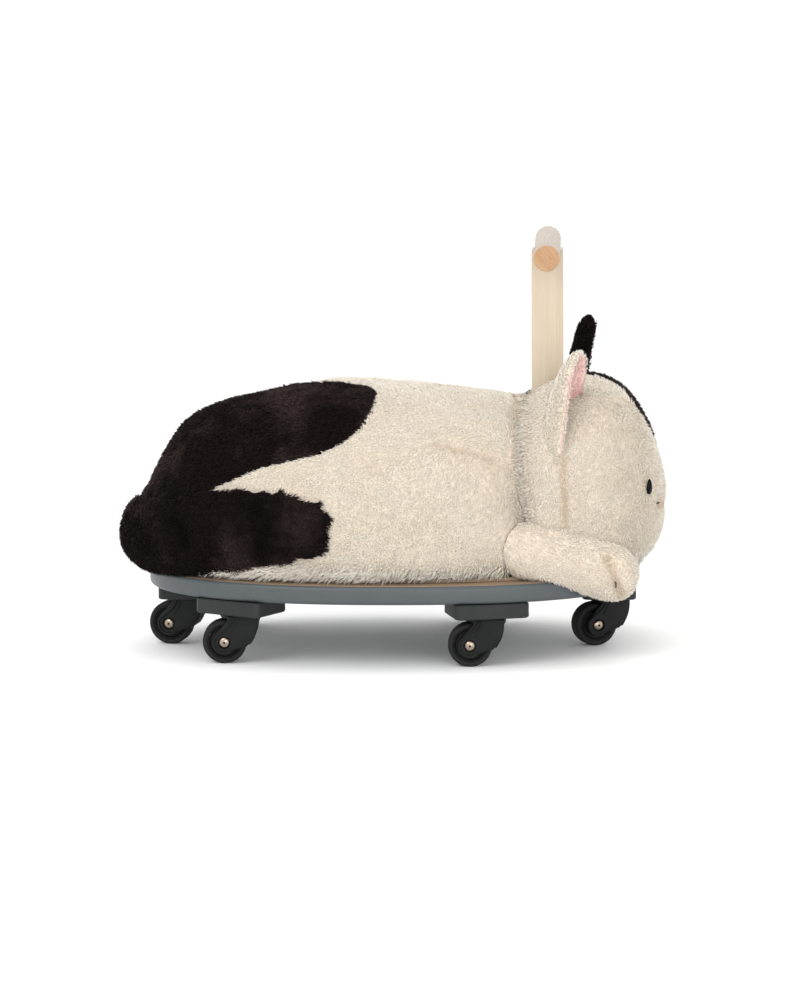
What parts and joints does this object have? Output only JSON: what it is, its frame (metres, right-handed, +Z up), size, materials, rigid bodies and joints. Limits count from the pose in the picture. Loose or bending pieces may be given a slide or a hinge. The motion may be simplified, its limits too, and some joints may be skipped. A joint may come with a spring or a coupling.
{
  "type": "plush ride-on animal",
  "caption": "Toddler ride-on toy: a stuffed lying cat on an oval wooden board with swivel casters and a wooden T-handle behind its ears.",
  "frame": {"origin": "on the floor under the middle of the toy's bounding box", "axes": "+X towards the animal's head, +Y to its left side, +Z up"},
  "size_m": [0.5318, 0.316, 0.397],
  "materials": {
    "cream_fur": "matte",
    "dark_fur": "matte",
    "painted_board": "satin",
    "pine": "matte",
    "beech": "matte",
    "plywood": "matte",
    "black_plastic": "satin",
    "black_rubber": "matte",
    "steel": "satin",
    "eye_black": "gloss"
  },
  "bodies": {
    "ride_on": {"base_board": "painted_board", "plush_base_panel": "plywood", "handle_post": "pine", "handle_bar": "beech", "bar_dowel": "beech", "post_bolt_right": "steel", "post_bolt_left": "steel", "body_plush": "cream_fur", "head_plush": "cream_fur", "tail_plush": "dark_fur", "right_ear": "cream_fur", "left_ear": "dark_fur", "right_arm": "cream_fur", "left_arm": "cream_fur", "right_eye": "eye_black", "left_eye": "eye_black", "rear_caster_block": "black_plastic", "rear_caster_king_pin": "steel", "rear_caster_bearing": "steel", "front_caster_block": "black_plastic", "front_caster_king_pin": "steel", "front_caster_bearing": "steel", "right_rear_caster_block": "black_plastic", "right_rear_caster_king_pin": "steel", "right_rear_caster_bearing": "steel", "left_rear_caster_block": "black_plastic", "left_rear_caster_king_pin": "steel", "left_rear_caster_bearing": "steel", "right_front_caster_block": "black_plastic", "right_front_caster_king_pin": "steel", "right_front_caster_bearing": "steel", "left_front_caster_block": "black_plastic", "left_front_caster_king_pin": "steel", "left_front_caster_bearing": "steel"},
    "rear_caster_swivel_fork": {"rear_caster_fork": "black_plastic", "rear_caster_axle": "steel"},
    "rear_caster_wheel": {"rear_caster_wheel_hub": "black_plastic", "rear_caster_tyre": "black_rubber"},
    "front_caster_swivel_fork": {"front_caster_fork": "black_plastic", "front_caster_axle": "steel"},
    "front_caster_wheel": {"front_caster_wheel_hub": "black_plastic", "front_caster_tyre": "black_rubber"},
    "right_rear_caster_swivel_fork": {"right_rear_caster_fork": "black_plastic", "right_rear_caster_axle": "steel"},
    "right_rear_caster_wheel": {"right_rear_caster_wheel_hub": "black_plastic", "right_rear_caster_tyre": "black_rubber"},
    "left_rear_caster_swivel_fork": {"left_rear_caster_fork": "black_plastic", "left_rear_caster_axle": "steel"},
    "left_rear_caster_wheel": {"left_rear_caster_wheel_hub": "black_plastic", "left_rear_caster_tyre": "black_rubber"},
    "right_front_caster_swivel_fork": {"right_front_caster_fork": "black_plastic", "right_front_caster_axle": "steel"},
    "right_front_caster_wheel": {"right_front_caster_wheel_hub": "black_plastic", "right_front_caster_tyre": "black_rubber"},
    "left_front_caster_swivel_fork": {"left_front_caster_fork": "black_plastic", "left_front_caster_axle": "steel"},
    "left_front_caster_wheel": {"left_front_caster_wheel_hub": "black_plastic", "left_front_caster_tyre": "black_rubber"}
  },
  "joints": [
    {"name": "rear_caster_swivel", "type": "hinge", "parent": "ride_on", "child": "rear_caster_swivel_fork", "pos_m": [-0.1995, 0, 0.0473], "axis": [0, 0, 1], "continuous": true},
    {"name": "rear_caster_roll", "type": "hinge", "parent": "rear_caster_swivel_fork", "child": "rear_caster_wheel", "pos_m": [-0.21482, 0.00292, 0.021], "axis": [0.1874, 0.9823, 0], "continuous": true},
    {"name": "front_caster_swivel", "type": "hinge", "parent": "ride_on", "child": "front_caster_swivel_fork", "pos_m": [0.209, 0, 0.0473], "axis": [0, 0, 1], "continuous": true},
    {"name": "front_caster_roll", "type": "hinge", "parent": "front_caster_swivel_fork", "child": "front_caster_wheel", "pos_m": [0.19434, -0.00534, 0.021], "axis": [-0.342, 0.9397, 0], "continuous": true},
    {"name": "right_rear_caster_swivel", "type": "hinge", "parent": "ride_on", "child": "right_rear_caster_swivel_fork", "pos_m": [-0.14099, -0.10508, 0.0473], "axis": [0, 0, 1], "continuous": true},
    {"name": "right_rear_caster_roll", "type": "hinge", "parent": "right_rear_caster_swivel_fork", "child": "right_rear_caster_wheel", "pos_m": [-0.15659, -0.10508, 0.021], "axis": [0, 1, 0], "continuous": true},
    {"name": "left_rear_caster_swivel", "type": "hinge", "parent": "ride_on", "child": "left_rear_caster_swivel_fork", "pos_m": [-0.14099, 0.10508, 0.0473], "axis": [0, 0, 1], "continuous": true},
    {"name": "left_rear_caster_roll", "type": "hinge", "parent": "left_rear_caster_swivel_fork", "child": "left_rear_caster_wheel", "pos_m": [-0.15657, 0.10426, 0.021], "axis": [-0.0523, 0.9986, 0], "continuous": true},
    {"name": "right_front_caster_swivel", "type": "hinge", "parent": "ride_on", "child": "right_front_caster_swivel_fork", "pos_m": [0.09275, -0.12302, 0.0473], "axis": [0, 0, 1], "continuous": true},
    {"name": "right_front_caster_roll", "type": "hinge", "parent": "right_front_caster_swivel_fork", "child": "right_front_caster_wheel", "pos_m": [0.07715, -0.12302, 0.021], "axis": [0, 1, 0], "continuous": true},
    {"name": "left_front_caster_swivel", "type": "hinge", "parent": "ride_on", "child": "left_front_caster_swivel_fork", "pos_m": [0.09275, 0.12302, 0.0473], "axis": [0, 0, 1], "continuous": true},
    {"name": "left_front_caster_roll", "type": "hinge", "parent": "left_front_caster_swivel_fork", "child": "left_front_caster_wheel", "pos_m": [0.07716, 0.12356, 0.021], "axis": [0.0349, 0.9994, 0], "continuous": true}
  ]
}
